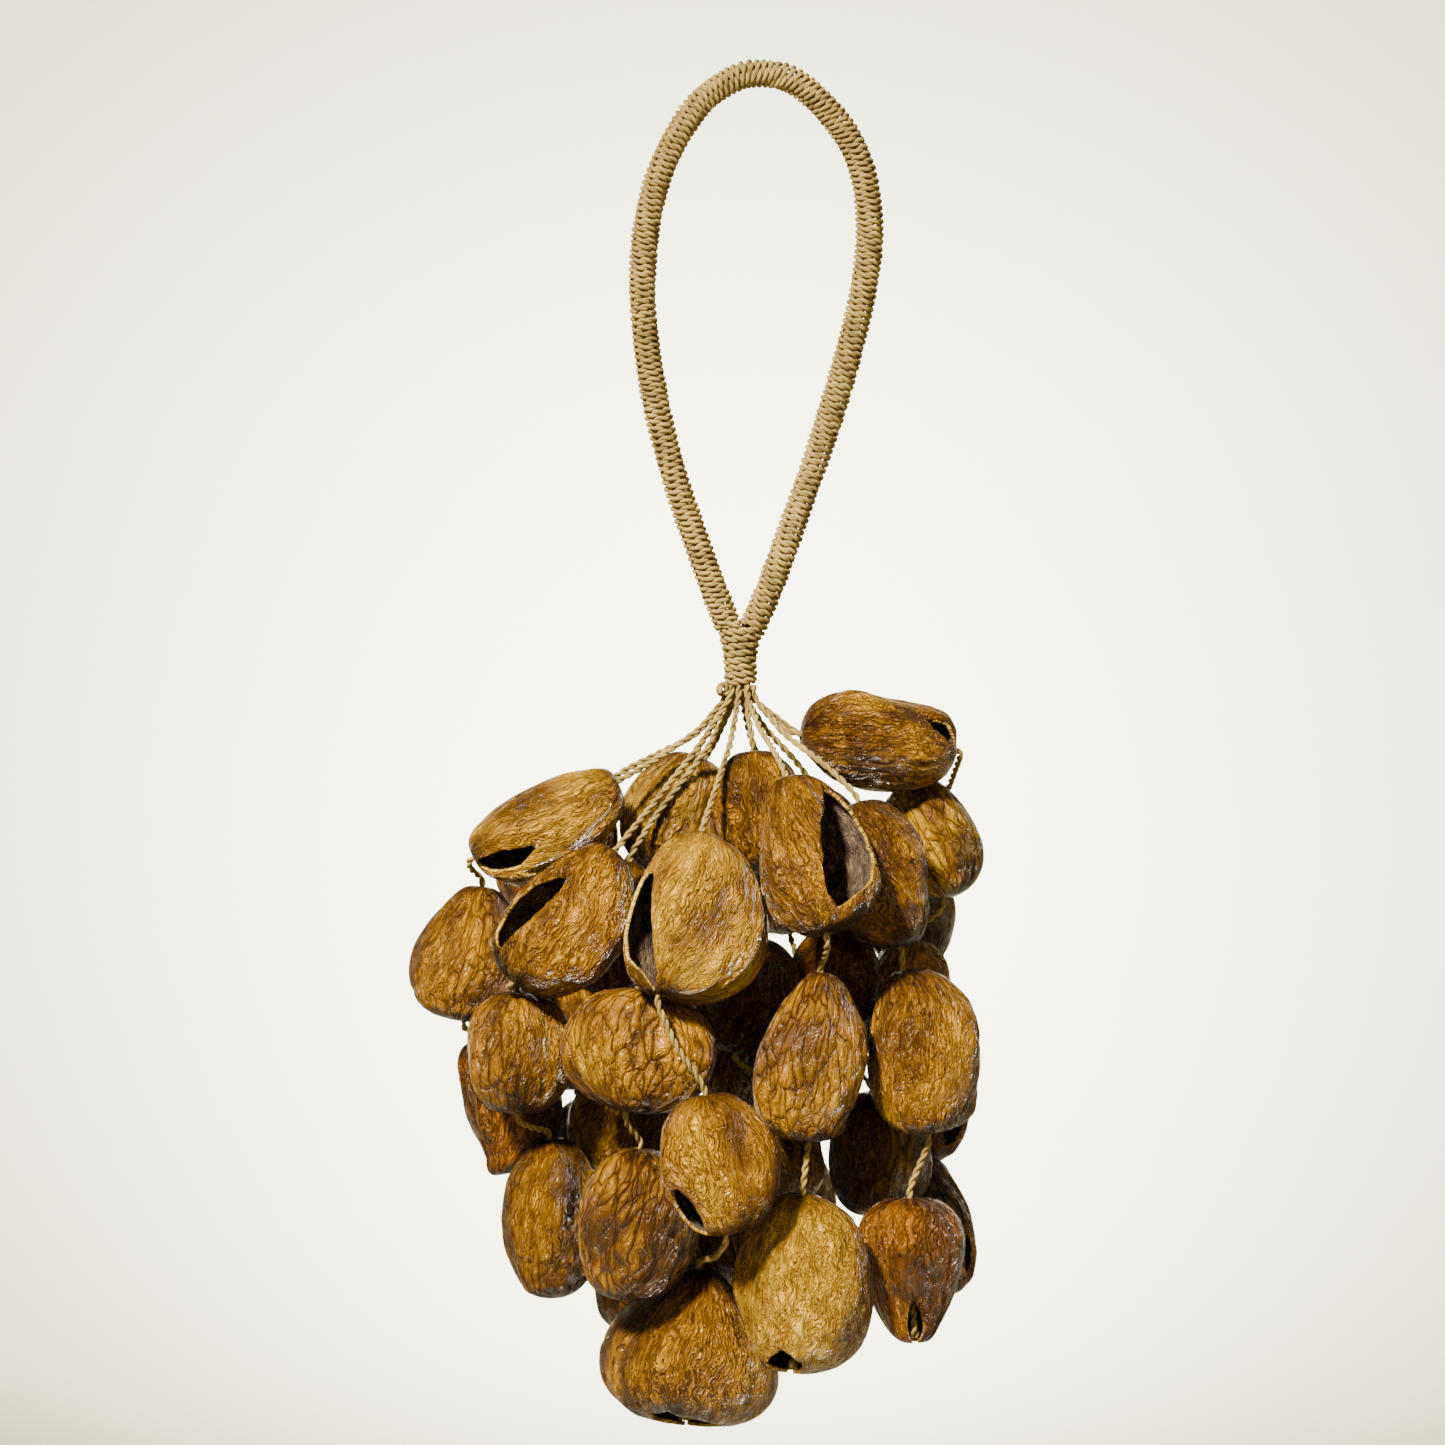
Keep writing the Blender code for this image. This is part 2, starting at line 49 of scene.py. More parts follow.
# Sizes that the solids have too. A knot is KNOT_SHARE as thick as its twine, a twine goes straight
# for LEAD outside each hole, a bend whose cosine is above STRAIGHT is left out, and the strands
# leave the collar on two rings
TWINE = 2.1 * MM
FIT = 0.3 * MM
LOOP_WIDTH = 70.0 * MM
LOOP_DROP = 172.0 * MM
CROWN = Vector((1.0, 0, 4.2)) * MM
COLLAR_TOP = Vector((-4.0, 0, -168.8)) * MM
COLLAR_HEIGHT = 17.64 * MM
COLLAR_UNDERSIDE = COLLAR_TOP - Vector((0, 0, COLLAR_HEIGHT))
STRANDS_FROM = COLLAR_UNDERSIDE - Vector((0, 0, FIT))
SHELL_WALL = 1.2 * MM
HOLE_RADIUS = TWINE / 2 + 0.35 * MM + 0.6 * SHELL_WALL
KNOT_SHARE = 4.4 / 2.1
LEAD = 2.4 * MM
STRAIGHT = math.cos(math.radians(42))
OUTER_RING = (TWINE + FIT) / 2 / math.sin(math.pi / 4) + TWINE + FIT
INNER_RING = (TWINE + FIT) / 2 / math.sin(math.pi / 4)

# How the twine looks: the length of one full twist of its two plies, how far a ply's middle is
# from the twine's and how thick the ply is (shares of the diameter), and how many sides a ply has
LAY = 6.6 * MM
PLY_REACH = 0.25
PLY_RADIUS = 0.28
SIDES = 6

# The wrap round the handle, the collar's turns, and how far a strand goes up into the collar
WRAP_PITCH = 2.06 * MM
WRAP_RADIUS = 3.3 * MM
WRAP_TWINE = 2.4 * MM
COLLAR_PITCH = 2.2 * MM
COLLAR_TWINE = 2.5 * MM
HITCH_TWINE = 2.2 * MM
TUCK = 1.2 * MM

# The loop's middle line from the collar round and back: across (share of the width) and down
# (share of the drop) from the crown
LOOP_SHAPE = [
    (-0.123, 1.0), (-0.228, 0.886), (-0.352, 0.741), (-0.445, 0.595), (-0.497, 0.45),
    (-0.502, 0.34), (-0.465, 0.23), (-0.385, 0.139), (-0.252, 0.054), (-0.097, 0.009),
    (0.02, 0.0), (0.168, 0.014), (0.337, 0.076), (0.453, 0.154), (0.5, 0.258),
    (0.48, 0.376), (0.396, 0.522), (0.286, 0.668), (0.16, 0.814), (0.063, 0.923),
    (-0.019, 1.0),
]

# One shell: its middle from where the strands start (mm across, behind and below), its length,
# width and thickness (mm), its leans to the right and to the front and its roll (degrees), how far
# its middle bulges to one side and how much wider its foot is than its top (shares), its mouth
# (first and last fifth, counted from 0 at the top, turn from the front in degrees, and width in
# eighths of the way round), the phase of its ripple (radians) and its finish. One strand: its
# ring, its turn from the front (degrees) and its three shells from the top down
Pod = namedtuple("Pod", "across behind below length width thick right front roll belly egg mouth "
                        "aim finish")
Strand = namedtuple("Strand", "ring turn pods")

STRANDS = {
    "01": Strand("outer", -5, [
        Pod(-18.31, -44.43, 67.57, 52, 44, 30, 15, -20, 10, 0.16, 0.05, (2, 4, 300, 1), -17,
            "pale"),
        Pod(-7.58, -53.47, 141.71, 42, 40, 29, -8, 0, -10, 0, 0, (3, 4, 315, 1), -11.5, "golden"),
        Pod(-14.95, -16.67, 200.94, 49, 53, 34, 5, 8, 0, 0, 0.3, (4, 4, 0, 2), -14, "golden")]),
    "02": Strand("outer", 31, [
        Pod(19.56, -45.44, 50.24, 50, 37, 28, -14, -18, 0, 0.08, 0.2, (1, 3, 45, 2), 20, "golden"),
        Pod(22.03, -41.66, 110.57, 51, 38, 30, 4, 0, 15, 0, 0.18, (3, 4, 70, 1), 21, "golden"),
        Pod(17.16, -39.18, 178.84, 54, 43, 31, 3, 4, 0, 0.05, 0.1, (3, 4, 330, 1), 17, "pale")]),
    "03": Strand("outer", 67, [
        Pod(42.47, -23.12, 56.54, 46, 34, 27, -16, -10, 20, 0, 0.1, (2, 3, 160, 1), 40, "golden"),
        Pod(53.14, -27.60, 110.22, 50, 39, 30, -9, 0, -10, 0.1, 0.1, (2, 3, 120, 1), 52, "golden"),
        Pod(51.95, -28.62, 176.26, 44, 34, 26, -2, 0, 0, 0, -0.25, (3, 4, 0, 1), 50, "red")]),
    "04": Strand("outer", 103, [
        Pod(42.72, -0.51, 16.42, 49, 33, 28, -84, 10, 0, 0.05, 0.05, (3, 3, 70, 1), 42, "golden"),
        Pod(53.50, 35.75, 70.30, 38, 32, 26, -4, -14, 30, 0, 0.1, (1, 2, 170, 1), 54, "dark"),
        Pod(56.91, 25.73, 131.03, 36, 31, 26, 6, 4, -20, 0, 0.1, (2, 3, 80, 1), 56, "red")]),
    "05": Strand("outer", 139, [
        Pod(58.95, 11.74, 47.26, 38, 32, 27, -14, -10, 0, 0, 0.1, (2, 3, 200, 1), 56, "pale"),
        Pod(50.12, 8.50, 97.09, 40, 34, 28, 8, 0, 40, 0.1, 0, (1, 3, 150, 1), 48, "golden"),
        Pod(57.80, 13.17, 168.46, 44, 34, 27, -6, 0, 0, 0, 0.1, (2, 3, 70, 1), 57, "red")]),
    "06": Strand("outer", 175, [
        Pod(12.99, 37.21, 55.95, 44, 36, 28, -8, 16, 180, 0.1, 0.1, (1, 3, 40, 1), 14, "golden"),
        Pod(16.00, 36.00, 108.00, 46, 38, 29, 4, 0, 165, 0, 0.15, (3, 4, 0, 1), 16, "pale"),
        Pod(12.00, 30.05, 164.00, 50, 40, 30, -4, -4, 190, 0, 0.1, (2, 3, 60, 1), 12, "golden")]),
    "07": Strand("outer", 211, [
        Pod(-54.33, 26.55, 53.81, 44, 36, 29, 20, 16, 200, 0.1, 0.1, (2, 3, 30, 1), -50, "red"),
        Pod(-53.29, 24.51, 104.22, 44, 38, 28, -4, 0, 160, 0, 0.2, (1, 2, 330, 1), -52, "golden"),
        Pod(-44.48, 28.04, 151.33, 46, 36, 28, -8, 0, 180, 0, 0, (3, 4, 20, 1), -44, "dark")]),
    "08": Strand("outer", 283, [
        Pod(-59.87, -12.77, 40.06, 50, 31, 27, 62, 0, 0, 0.05, 0.1, (3, 4, 20, 1), -59, "pale"),
        Pod(-82.74, -2.44, 81.83, 42, 38, 30, 8, 0, 0, 0, 0.3, (2, 3, 200, 1), -82, "golden"),
        Pod(-77.56, 2.32, 129.85, 42, 33, 27, -10, 0, 0, 0.18, 0, (1, 2, 240, 1), -75, "red")]),
    "09": Strand("inner", 315, [
        Pod(-39.70, -8.79, 73.13, 42, 34, 27, 15, 0, 0, 0.1, 0.1, (1, 3, 310, 1), -40, "golden"),
        Pod(-30.77, -38.38, 109.10, 37, 47, 30, 12, 0, 0, 0, 0, (2, 3, 180, 1), -35, "golden"),
        Pod(-32.18, -33.09, 161.76, 46, 42, 30, 5, 0, -10, 0, 0, (2, 3, 150, 1), -32, "golden")]),
    "10": Strand("outer", 319, [
        Pod(-53.43, -32.44, 68.81, 50, 36, 28, 38, -10, 0, 0.08, 0.1, (2, 3, 300, 1), -54,
            "golden"),
        Pod(-68.10, -24.69, 110.62, 37, 36, 31, 0, 0, 0, 0, 0, (2, 3, 180, 1), -62, "golden"),
        Pod(-57.07, -12.95, 162.18, 49, 33, 26, -3, 4, 10, 0, 0.1, (1, 2, 220, 1), -57, "golden")]),
    "11": Strand("inner", 45, [
        Pod(5.64, -10.97, 37.97, 38, 31, 27, -5, -8, 30, 0, 0.1, (2, 3, 100, 1), 5, "golden"),
        Pod(1.48, -21.52, 93.24, 36, 34, 28, 10, 0, 0, 0, 0, (1, 2, 200, 1), 6, "dark"),
        Pod(13.63, -14.90, 139.62, 36, 34, 27, -6, 0, 60, 0, 0.1, (2, 3, 160, 1), 18, "dark")]),
    "12": Strand("inner", 135, [
        Pod(28.07, 12.06, 50.79, 40, 33, 27, -14, 6, 90, 0, 0.1, (1, 2, 90, 1), 30, "dark"),
        Pod(30.06, -10.20, 89.55, 36, 32, 27, 4, 0, 0, 0, 0, (2, 3, 180, 1), 34, "red"),
        Pod(40.45, -8.55, 142.99, 38, 34, 28, 0, 0, 20, 0.1, 0.1, (2, 3, 210, 1), 37, "dark")]),
    "13": Strand("inner", 225, [
        Pod(-27.52, 33.91, 62.45, 40, 34, 28, 14, 10, 120, 0, 0.1, (2, 3, 300, 1), -30, "golden"),
        Pod(-33.72, 3.19, 133.90, 38, 34, 28, 0, 0, 180, 0.1, 0.1, (1, 2, 20, 1), -34, "dark"),
        Pod(-30.49, 11.11, 185.49, 38, 34, 28, -6, 0, 150, 0, 0.1, (2, 3, 40, 1), -30, "red")]),
    "14": Strand("outer", 247, [
        Pod(-20.30, 6.90, 38.34, 38, 35, 28, 20, 0, 0, 0, 0.1, (1, 2, 150, 1), -23, "pale"),
        Pod(-2.00, 6.00, 111.00, 38, 34, 28, -10, 0, 40, 0, 0, (2, 3, 120, 1), -2, "dark"),
        Pod(-2.21, 1.16, 166.11, 38, 34, 28, 4, 0, 10, 0, 0.1, (1, 2, 230, 1), -2, "dark")]),
}

PLACES = ("top", "middle", "bottom")
SWINGING = ("02", "03", "04", "06", "07", "08", "10")

# How far outwards a twine leaves the collar for each length downwards, where it isn't the usual
LEANS = {"10": 0.75, "14": 0.2}
USUAL_LEAN = 0.4

# How a shell's skin differs: the twist of its wrinkles (radians from hole to hole), how fine they
# are (share), how bright it is (-1 to 1), how blotched and how netted with veins it is (0 to 1),
# how its mouth slants (degrees), how it tapers (share, above 0 to its top and below 0 to its foot)
# and its mouth, where that differs from the solid's. A shell that isn't listed gets values by
# chance between the two bounds
Skin = namedtuple("Skin", "twist grain tone age web slant taper mouth", defaults=(None,))
SKIN_LOW = (-1.2, 0.9, -1, 0.1, 0, -16, -0.15)
SKIN_HIGH = (1.2, 1.25, 1, 0.9, 0.8, 16, 0.3)
SKINS = {
    "01_top": Skin(0.5, 1.1, 0.9, 0.1, 0.35, 18, 0.0),
    "01_middle": Skin(-0.3, 0.9, 0.6, 0.2, 0.1, 0, 0.1),
    "01_bottom": Skin(0.4, 1.0, -0.3, 0.55, 0.0, 10, 0.3),
    "02_top": Skin(-0.6, 0.95, 0.0, 0.6, 0.2, -26, 0.15),
    "02_middle": Skin(0.3, 0.9, 0.5, 0.2, 1.0, 12, 0.3, (3.6, 4.2, 60, 1.2)),
    "02_bottom": Skin(0.1, 1.3, 0.9, 0.15, 0.0, 4, 0.0, (3.9, 4.3, 336, 1.6)),
    "03_top": Skin(-0.9, 1.2, -0.4, 1.0, 0.1, 0, 0.0),
    "03_middle": Skin(0.6, 0.9, 0.5, 0.4, 0.3, 0, 0.15),
    "03_bottom": Skin(0.2, 0.9, 0.3, 0.5, 0.2, 0, -0.12, (3.4, 4.6, 0, 1.2)),
    "04_top": Skin(0.2, 0.95, 0.2, 0.9, 0.1, -20, 0.0, (3.5, 4.2, 32, 1.2)),
    "08_top": Skin(0.3, 1.0, 0.9, 0.3, 0.0, 6, 0.0),
    "08_middle": Skin(0.5, 0.9, -0.2, 0.7, 0.5, 6, 0.2),
    "09_middle": Skin(-0.4, 0.9, 0.2, 0.6, 0.9, 0, 0.0),
    "09_bottom": Skin(0.5, 0.9, -0.4, 0.3, 1.0, 0, 0.1),
    "10_top": Skin(-0.8, 0.95, -0.1, 0.2, 0.0, -14, 0.0),
}


# Rows from hole to hole and columns round each shell
FULL_GRID = (54, 78)

# The lowest and highest that folds and hollows go from a shell's plain shape (mm)
DEEPEST = -4.2
HIGHEST = 0.12

# Skin colours from the grooves up to the ridges, which paint shade into the grooves and light onto
# the ridges, then the colours inside a shell
SHELL_TONES = {
    "golden": [(0.010, 0.003, 0.001), (0.088, 0.031, 0.001), (0.36, 0.152, 0.003),
               (0.70, 0.39, 0.015)],
    "pale": [(0.022, 0.009, 0.001), (0.16, 0.066, 0.003), (0.49, 0.245, 0.010),
             (0.78, 0.50, 0.06)],
    "red": [(0.009, 0.003, 0.001), (0.075, 0.023, 0.001), (0.29, 0.100, 0.002),
            (0.56, 0.25, 0.008)],
    "dark": [(0.008, 0.003, 0.001), (0.052, 0.021, 0.001), (0.19, 0.084, 0.003),
             (0.44, 0.23, 0.012)],
}
LINING_TONES = [(0.36, (0.016, 0.009, 0.004)), (0.5, (0.09, 0.05, 0.022)),
                (0.68, (0.24, 0.15, 0.07))]
BLOTCH_TINT = (0.5, 0.34, 0.25, 1)

# The light and dark fibres of the twine and of the core under the wrap
STRAW_TONES = ((0.385, 0.265, 0.068), (0.07, 0.038, 0.007))
CORE_TONES = ((0.40, 0.26, 0.09), (0.12, 0.07, 0.015))

# The pale floor: its profile (metres out and up) and colour. Then each light: its place, its aim,
# its size (metres), its power (watts) and its spread (degrees)
FLOOR_PROFILE = [(0, -0.9), (1.5, -0.9), (2.2, -0.84), (2.7, -0.62), (2.93, -0.2), (3.0, 0.4),
                 (3.0, 2.6)]
FLOOR_COLOUR = (0.915, 0.895, 0.73, 1)
SKY_COLOUR = (1.0, 0.985, 0.95, 1)
SKY_STRENGTH = 0.035
LAMP_COLOUR = (1.0, 0.955, 0.87)
MIDDLE = (0, 0, -0.28)
LIGHTS = {
    "key": ((-0.72, -1.32, 0.95), MIDDLE, 0.2, 14, 50),
    "fill": ((1.6, -1.2, 0.3), MIDDLE, 0.8, 0.4, 50),
    "top": ((0.1, 0.3, 1.9), MIDDLE, 0.6, 2, 50),
    "back": ((0.0, 1.9, -0.15), (0, 3.0, -0.1), 0.3, 62, 150),
    "front": ((0.0, -1.9, 0.4), (0, -3.0, -0.1), 0.3, 12, 150),
}

# The camera: its place, its sensor's width and its focal length (mm)
CAMERA_PLACE = (-0.0095, -1.3, -0.197)
SENSOR = 36
LENS = 104.46


class Value:
    """A socket whose sums and products add Math nodes to its tree."""

    def __init__(self, tree, socket):
        self.tree, self.socket = tree, socket

    def math(self, operation, *others):
        inputs = dict(enumerate((self, *others)))
        return self.tree.add("ShaderNodeMath", {"operation": operation}, inputs)

    def __add__(self, other):
        return self.math("ADD", other)

    def __sub__(self, other):
        return self.math("SUBTRACT", other)

    def __mul__(self, other):
        return self.math("MULTIPLY", other)

    def __truediv__(self, other):
        return self.math("DIVIDE", other)

    def __pow__(self, other):
        return self.math("POWER", other)

    def __radd__(self, other):
        return self.math("ADD", other)

    def __rmul__(self, other):
        return self.math("MULTIPLY", other)

    def __rsub__(self, other):
        return self.tree.add("ShaderNodeMath", {"operation": "SUBTRACT"}, {0: other, 1: self})

    def clamped(self):
        return self.tree.add("ShaderNodeClamp", {}, {"Value": self})


class Tree:
    """A node tree that nodes are added to one at a time."""

    def __init__(self, tree):
        self.tree = tree

    def add(self, kind, settings, inputs, out=0):
        node = self.tree.nodes.new(kind)
        for name, setting in settings.items():
            if name == "stops":
                self.set_stops(node.color_ramp, setting)
            else:
                setattr(node, name, setting)
        for key, value in inputs.items():
            if isinstance(value, Value):
                self.tree.links.new(value.socket, node.inputs[key])
            else:
                node.inputs[key].default_value = value
        return Value(self, node.outputs[out])

    def set_stops(self, ramp, stops):
        while len(ramp.elements) < len(stops):
            ramp.elements.new(0.5)
        for element, (place, colour) in zip(ramp.elements, stops):
            element.position = place
            element.color = colour if len(colour) == 4 else (*colour, 1)

    def ramp(self, value, *stops):
        return self.add("ShaderNodeValToRGB", {"stops": stops}, {"Fac": value})

    def step(self, value, low, high):
        """A smooth step from 0 at low to 1 at high."""
        return self.add("ShaderNodeMapRange", {"interpolation_type": "SMOOTHSTEP"},
                        {"Value": value, "From Min": low, "From Max": high})

    def mix(self, factor, first, second, blend="MIX"):
        return self.add("ShaderNodeMix", {"data_type": "RGBA", "blend_type": blend},
                        {0: factor, 6: first, 7: second}, out=2)

    def vector(self, operation, first, second):
        inputs = {0: first, 1: second}
        return self.add("ShaderNodeVectorMath", {"operation": operation}, inputs)

    def scaled(self, vector, factor):
        inputs = {0: vector, "Scale": factor}
        return self.add("ShaderNodeVectorMath", {"operation": "SCALE"}, inputs)

    def noise(self, place, scale, detail=3.0, roughness=0.55, out=0):
        inputs = {"Vector": place, "Scale": scale, "Detail": detail, "Roughness": roughness}
        return self.add("ShaderNodeTexNoise", {}, inputs, out)

    def bump(self, strength, distance, height):
        inputs = {"Strength": strength, "Distance": distance, "Height": height}
        return self.add("ShaderNodeBump", {}, inputs)

    def attribute(self, name, out=2):
        return self.add("ShaderNodeAttribute", {"attribute_name": name}, {}, out)

    def named(self, name):
        """A number that the geometry holds, for geometry nodes."""
        return self.add("GeometryNodeInputNamedAttribute", {"data_type": "FLOAT"}, {"Name": name})

    def stored(self, geometry, name, value):
        settings = {"data_type": "FLOAT", "domain": "POINT"}
        inputs = {"Geometry": geometry, "Name": name, "Value": value}
        return self.add("GeometryNodeStoreNamedAttribute", settings, inputs)


def new_material(name):
    material = bpy.data.materials.new(name)
    material.use_nodes = True
    tree = Tree(material.node_tree)
    return material, tree, material.node_tree.nodes["Principled BSDF"]


def join(tree, value, shader, name):
    tree.tree.links.new(value.socket, shader.inputs[name])


def grooves(tree, place, scale, sharp):
    """Long rounded ridges with thin grooves between them, 0 in a groove and 1 on a ridge."""
    level = tree.noise(place, scale, 1.5, 0.5)
    return ((level * 2 - 1).math("ABSOLUTE") * sharp * 2).clamped() ** 0.6


def shell_material(finish):
    """Seed shell skin: veins and wrinkles that run from hole to hole, blotches and worn gloss, with
    shade painted into the grooves, light painted onto the ridges and the ends by the holes painted
    darker than the middle.

    The attribute skin is the place on the grain in millimetres, with its last axis from hole to
    hole, and inside is 0 on the outside and 1 on the lining.
    """
    material, tree, shader = new_material(f"shell_{finish}")
    deep, brown, gold, light = SHELL_TONES[finish]
    skin = tree.attribute("skin", 1)
    inside, tone, age, web, belly = map(tree.attribute, ("inside", "tone", "age", "web", "belly"))

    drift = tree.vector("SUBTRACT", tree.noise(skin, 0.075, 2.0, out=1), (0.5, 0.5, 0.5))
    sway = tree.vector("SUBTRACT", tree.noise(skin, 0.3, 2.0, out=1), (0.5, 0.5, 0.5))
    wandering = tree.vector("ADD", skin, tree.vector("MULTIPLY", drift, (11, 11, 16)))
    wavering = tree.vector("ADD", wandering, tree.vector("MULTIPLY", sway, (2.6, 2.6, 5)))
    flow = tree.vector("MULTIPLY", wavering, (1, 1, 0.15))
    net = tree.vector("MULTIPLY", wandering, (1, 1, 0.42))
    veins = tree.add("ShaderNodeTexVoronoi", {"feature": "DISTANCE_TO_EDGE"},
                     {"Vector": net, "Scale": 0.33})
    wide = grooves(tree, flow, 0.36, 1.5)
    narrow = grooves(tree, flow, 0.85, 1.7)
    hair = grooves(tree, flow, 1.9, 2.0)
    fibres = tree.noise(flow, 2.6, 3.0, 0.6)
    lumps = tree.noise(skin, 0.22, 3.0, 0.6)
    vein = (veins * 2.4).clamped() ** 0.5
    webbed = tree.step(tree.noise(skin, 0.05, 2.0) + web * 0.5, 0.66, 0.92)
    fine = tree.step(tree.noise(skin, 0.07, 2.0, 0.5), 0.35, 0.62)
    wrinkled = tree.step(tree.noise(skin, 0.06, 2.0) + age * 0.1, 0.36, 0.56)
    furrows = wide * 0.34 + narrow * (0.3 + fine * 0.25)
    wrinkles = vein * webbed * 0.7 + furrows * (1 - webbed * 0.7) + hair * 0.16
    wrinkles = wrinkles * (0.4 + wrinkled * 0.6)

    blotch = tree.step(tree.noise(skin, 0.07, 4.0, 0.65), 0.46, 0.7)
    speck = tree.step(tree.noise(skin, 0.9, 3.0, 0.7), 0.56, 0.7)
    cloud = tree.noise(skin, 0.045, 3.0)
    # Painted light and shade: the wrinkles, lumps and fibres that raise the relief also lift the
    # colour, so the grooves are painted dark and the ridges light, and belly paints a shell's ends
    # by the holes darker than its middle. cloud and tone are the skin's own uneven colour.
    level = (wrinkles * 0.55 + lumps * 0.3 + fibres * 0.2 + cloud + belly * 0.3 + tone * 0.1
             - 0.93)
    coloured = tree.ramp(level, (0.04, deep), (0.3, brown), (0.62, gold), (0.98, light))
    worn = tree.mix(blotch * age, coloured, (*brown, 1))
    worn = tree.mix(blotch * age * 0.6, worn, BLOTCH_TINT, "MULTIPLY")
    specked = tree.mix(speck * (0.12 + age * 0.45), worn, (*deep, 1))
    # Painted shade: the skin is darkened with the groove colour along the lines of the vein net,
    # which are grooves in the relief.
    line = tree.step(veins, 0.0, 0.06)
    vein_line_shaded = tree.mix((1 - line) * webbed * 0.35, specked, (*deep, 1))

    lining = tree.ramp(tree.noise(skin, 0.25, 5.0, 0.7), *LINING_TONES)
    edge = tree.ramp(tree.noise(skin, 0.15, 4.0), (0.3, brown), (0.75, light))
    rim = tree.step(inside, 0.03, 0.2)
    within = tree.step(inside, 0.75, 0.99)
    surface = tree.mix(within, tree.mix(rim, vein_line_shaded, edge), lining)
    join(tree, surface, shader, "Base Color")

    dull = 0.14 + fibres * 0.16 + blotch * age * 0.2 + within * 0.45 + rim * 0.15
    join(tree, dull, shader, "Roughness")
    relief = wrinkles + lumps * 0.8 + fibres * 0.12
    join(tree, tree.bump(1.0, 0.003, relief), shader, "Normal")
    shader.inputs["Specular IOR Level"].default_value = 0.38
    return material


def twine_material(name, light, shade):
    """Plant twine: fibres that run along each ply, straw coloured with darker strands."""
    material, tree, shader = new_material(name)
    along, around, ply = map(tree.attribute, ("along", "around", "ply"))
    inputs = {"X": along * 260, "Y": around * 9, "Z": ply * 7}
    fibre = tree.noise(tree.add("ShaderNodeCombineXYZ", {}, inputs), 1.0, 4.0, 0.65)
    where = tree.add("ShaderNodeTexCoord", {}, {}, out=3)
    patch = tree.noise(where, 160.0, 3.0)
    fine = tree.noise(where, 2600.0, 2.0)
    level = fibre * 0.9 + patch * 0.7 + fine * 0.2 - 0.4
    halfway = tuple((a + b) / 2 for a, b in zip(light, shade))
    colour = tree.ramp(level, (0.25, shade), (0.5, halfway), (0.72, light))
    join(tree, colour, shader, "Base Color")
    join(tree, 0.74 + fibre * 0.2, shader, "Roughness")
    join(tree, tree.bump(0.7, 0.00025, fibre + fine * 0.4), shader, "Normal")
    shader.inputs["Specular IOR Level"].default_value = 0.25
    return material


def two_ply_tree(material):
    """Geometry nodes that lay two twisted plies along a line."""
    group = bpy.data.node_groups.new("two_ply_twine", "GeometryNodeTree")
    ports = group.interface
    ports.new_socket("Line", in_out="INPUT", socket_type="NodeSocketGeometry")
    sockets = {}
    for name, kind, start in (("Diameter", "Float", TWINE), ("Lay", "Float", LAY),
                              ("Step", "Float", LAY / 8), ("Sides", "Int", SIDES)):
        sockets[name] = ports.new_socket(name, in_out="INPUT", socket_type=f"NodeSocket{kind}")
        sockets[name].default_value = start
    ports.new_socket("Twine", in_out="OUTPUT", socket_type="NodeSocketGeometry")
    tree = Tree(group)
    given = group.nodes.new("NodeGroupInput")
    port = {name: Value(tree, given.outputs[name]) for name in ("Line", *sockets)}

    line = tree.add("GeometryNodeMeshToCurve", {}, {"Mesh": port["Line"]})
    even = tree.add("GeometryNodeResampleCurve", {"mode": "LENGTH"},
                    {"Curve": line, "Length": port["Step"]})
    plies = tree.add("GeometryNodeDuplicateElements", {"domain": "SPLINE"},
                     {"Geometry": even, "Amount": 2})
    ply = Value(tree, plies.socket.node.outputs["Duplicate Index"])
    share = tree.add("GeometryNodeSplineParameter", {}, {}, out=0)
    travelled = tree.add("GeometryNodeSplineParameter", {}, {}, out=1)
    full = tree.named("full")
    slack = tree.noise(tree.add("GeometryNodeInputPosition", {}, {}), 70.0, 1.0)
    turn = travelled / port["Lay"] * (2 * math.pi) + ply * math.pi + slack * 1.6
    normal = tree.add("GeometryNodeInputNormal", {}, {})
    tangent = tree.add("GeometryNodeInputTangent", {}, {})
    side = tree.vector("CROSS_PRODUCT", tangent, normal)
    out = tree.scaled(normal, turn.math("COSINE"))
    over = tree.scaled(side, turn.math("SINE"))
    offset = tree.scaled(tree.vector("ADD", out, over), port["Diameter"] * PLY_REACH * full)
    laid = tree.add("GeometryNodeSetPosition", {}, {"Geometry": plies, "Offset": offset})
    laid = tree.stored(tree.stored(laid, "along", travelled), "ply", ply)
    thick = tree.add("GeometryNodeSetCurveRadius", {},
                     {"Curve": laid, "Radius": port["Diameter"] * PLY_RADIUS * full})
    circle = tree.add("GeometryNodeCurvePrimitiveCircle", {},
                      {"Resolution": port["Sides"], "Radius": 1.0})
    profile = tree.stored(circle, "around", share)
    mesh = tree.add("GeometryNodeCurveToMesh", {},
                    {"Curve": thick, "Profile Curve": profile, "Scale": tree.named("radius"),
                     "Fill Caps": True})
    smooth = tree.add("GeometryNodeSetShadeSmooth", {}, {"Geometry": mesh})
    whole = tree.add("GeometryNodeRealizeInstances", {}, {"Geometry": smooth})
    done = tree.add("GeometryNodeSetMaterial", {}, {"Geometry": whole, "Material": material})
    result = group.nodes.new("NodeGroupOutput")
    group.links.new(done.socket, result.inputs["Twine"])
    return group, {name: socket.identifier for name, socket in sockets.items()}


def line_object(name, points, full):
    """An object of edges along the points, with how full the twine is at each."""
    mesh = bpy.data.meshes.new(name + "_line")
    mesh.from_pydata([tuple(p) for p in points], [(k, k + 1) for k in range(len(points) - 1)], [])
    mesh.attributes.new("full", "FLOAT", "POINT").data.foreach_set("value", list(full))
    thing = bpy.data.objects.new(name, mesh)
    bpy.context.scene.collection.objects.link(thing)
    return thing


